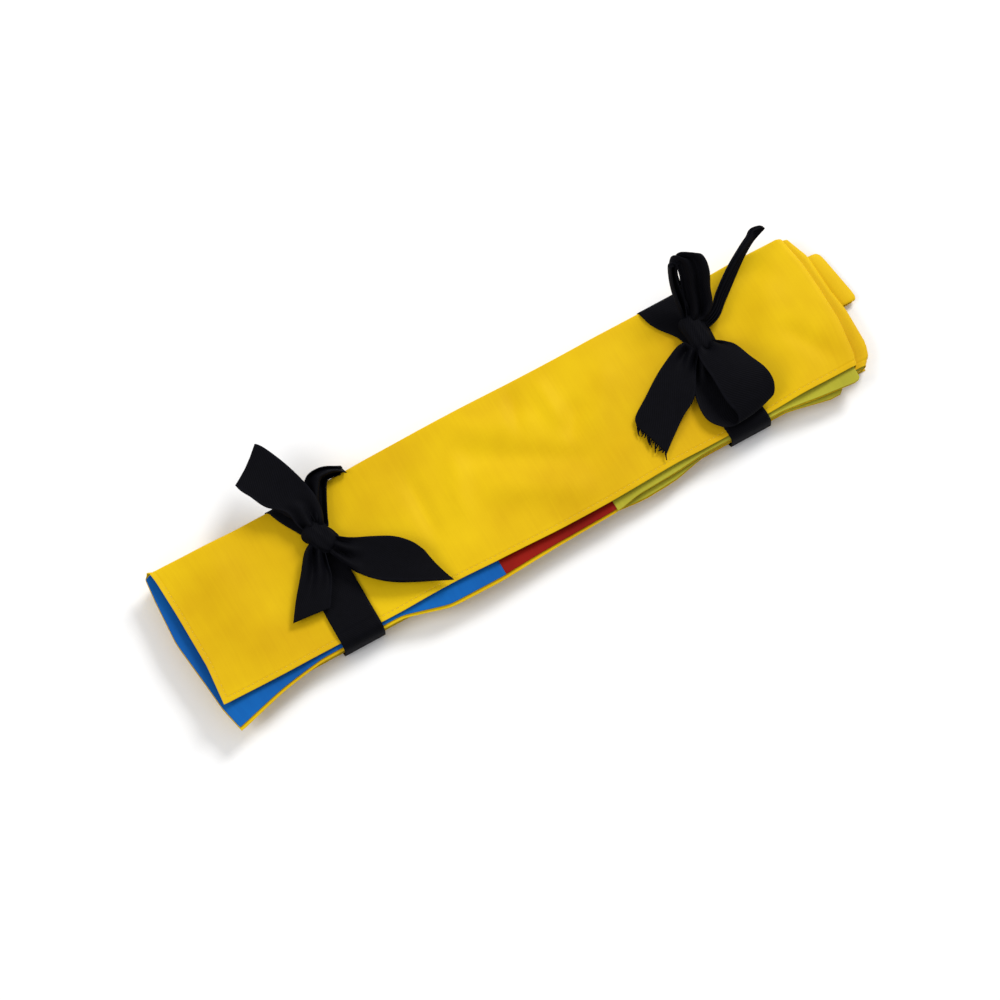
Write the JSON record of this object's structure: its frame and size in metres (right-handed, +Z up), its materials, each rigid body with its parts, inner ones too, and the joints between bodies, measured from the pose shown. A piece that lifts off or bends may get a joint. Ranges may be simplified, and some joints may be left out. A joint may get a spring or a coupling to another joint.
{
  "type": "tied martial arts sash",
  "caption": "Long two-sided cloth sash folded flat into a layered bundle and held by black ribbon bows, with a colour-blocked lining showing along its open edge.",
  "frame": {"origin": "middle of the tied bundle, on the surface it lies on", "axes": "+X along the bundle from the hemmed free end to the turned end, +Y towards the lengthwise fold, +Z up out of the bows"},
  "size_m": [0.4262, 0.1308, 0.0454],
  "materials": {
    "yellow_outer_cloth": "smooth plain weave with a soft sheen",
    "blue_lining": "smooth plain weave",
    "red_lining": "smooth plain weave",
    "lime_lining": "smooth plain weave",
    "hem_thread": "twisted sewing thread",
    "black_ribbon": "matt twill ribbon with woven edges"
  },
  "bodies": {
    "bundle": {"outer_cloth_run_1": "yellow_outer_cloth", "outer_cloth_run_2": "yellow_outer_cloth", "outer_cloth_run_3": "yellow_outer_cloth", "outer_cloth_run_4": "yellow_outer_cloth", "outer_cloth_run_5": "yellow_outer_cloth", "lining_panel_blue": "blue_lining", "lining_panel_red": "red_lining", "lining_panel_lime_run_1": "lime_lining", "lining_panel_lime_run_2": "lime_lining", "lining_panel_lime_run_3": "lime_lining", "lining_panel_lime_run_4": "lime_lining", "lining_panel_lime_run_5": "lime_lining", "cloth_turn_1_2": "yellow_outer_cloth", "cloth_turn_2_3": "yellow_outer_cloth", "cloth_turn_3_4": "yellow_outer_cloth", "cloth_turn_4_5": "yellow_outer_cloth", "rolled_sash_end": "yellow_outer_cloth", "hem_thread_long_edge": "hem_thread", "hem_thread_free_end": "hem_thread"},
    "tie_left": {"ribbon_left_band": "black_ribbon", "ribbon_left_knot": "black_ribbon"},
    "left_loop_far": {"ribbon_left_loop_far": "black_ribbon"},
    "left_loop_near": {"ribbon_left_loop_near": "black_ribbon"},
    "left_tail_near": {"ribbon_left_tail_near": "black_ribbon"},
    "left_tail_far": {"ribbon_left_tail_far": "black_ribbon"},
    "tie_right": {"ribbon_right_band": "black_ribbon", "ribbon_right_knot": "black_ribbon"},
    "right_loop_far": {"ribbon_right_loop_far": "black_ribbon"},
    "right_loop_near": {"ribbon_right_loop_near": "black_ribbon"},
    "right_tail_near": {"ribbon_right_tail_near": "black_ribbon"},
    "right_tail_far": {"ribbon_right_tail_far": "black_ribbon"}
  },
  "joints": [
    {"name": "tie_left_slide", "type": "slide", "parent": "bundle", "child": "tie_left", "axis": [1, 0, 0], "range_m": [-0.01, 0.01]},
    {"name": "left_loop_far_lift", "type": "hinge", "parent": "tie_left", "child": "left_loop_far", "pos_m": [-0.11814, 0.01708, 0.02092], "axis": [0.9487, 0.3162, 0], "range_deg": [0, 30]},
    {"name": "left_loop_near_lift", "type": "hinge", "parent": "tie_left", "child": "left_loop_near", "pos_m": [-0.11014, 0.00108, 0.02062], "axis": [-0.7368, -0.6761, 0], "range_deg": [0, 45]},
    {"name": "left_tail_near_lift", "type": "hinge", "parent": "tie_left", "child": "left_tail_near", "pos_m": [-0.12314, 0.00008, 0.01982], "axis": [-0.8147, 0.5799, 0], "range_deg": [0, 45]},
    {"name": "left_tail_far_lift", "type": "hinge", "parent": "tie_left", "child": "left_tail_far", "pos_m": [-0.11064, 0.01558, 0.01982], "axis": [0.7465, -0.6654, 0], "range_deg": [0, 10]},
    {"name": "tie_right_slide", "type": "slide", "parent": "bundle", "child": "tie_right", "axis": [1, 0, 0], "range_m": [-0.01, 0.01]},
    {"name": "right_loop_far_lift", "type": "hinge", "parent": "tie_right", "child": "right_loop_far", "pos_m": [0.12486, 0.01738, 0.02142], "axis": [0.9295, -0.3688, 0], "range_deg": [0, 20]},
    {"name": "right_loop_near_lift", "type": "hinge", "parent": "tie_right", "child": "right_loop_near", "pos_m": [0.12386, -0.00022, 0.02092], "axis": [-0.9987, -0.051, 0], "range_deg": [0, 40]},
    {"name": "right_tail_near_lift", "type": "hinge", "parent": "tie_right", "child": "right_tail_near", "pos_m": [0.11436, 0.00208, 0.01982], "axis": [-0.6166, 0.7873, 0], "range_deg": [0, 40]},
    {"name": "right_tail_far_lift", "type": "hinge", "parent": "tie_right", "child": "right_tail_far", "pos_m": [0.13136, 0.01308, 0.02042], "axis": [0.5044, -0.8635, 0], "range_deg": [0, 12]}
  ]
}
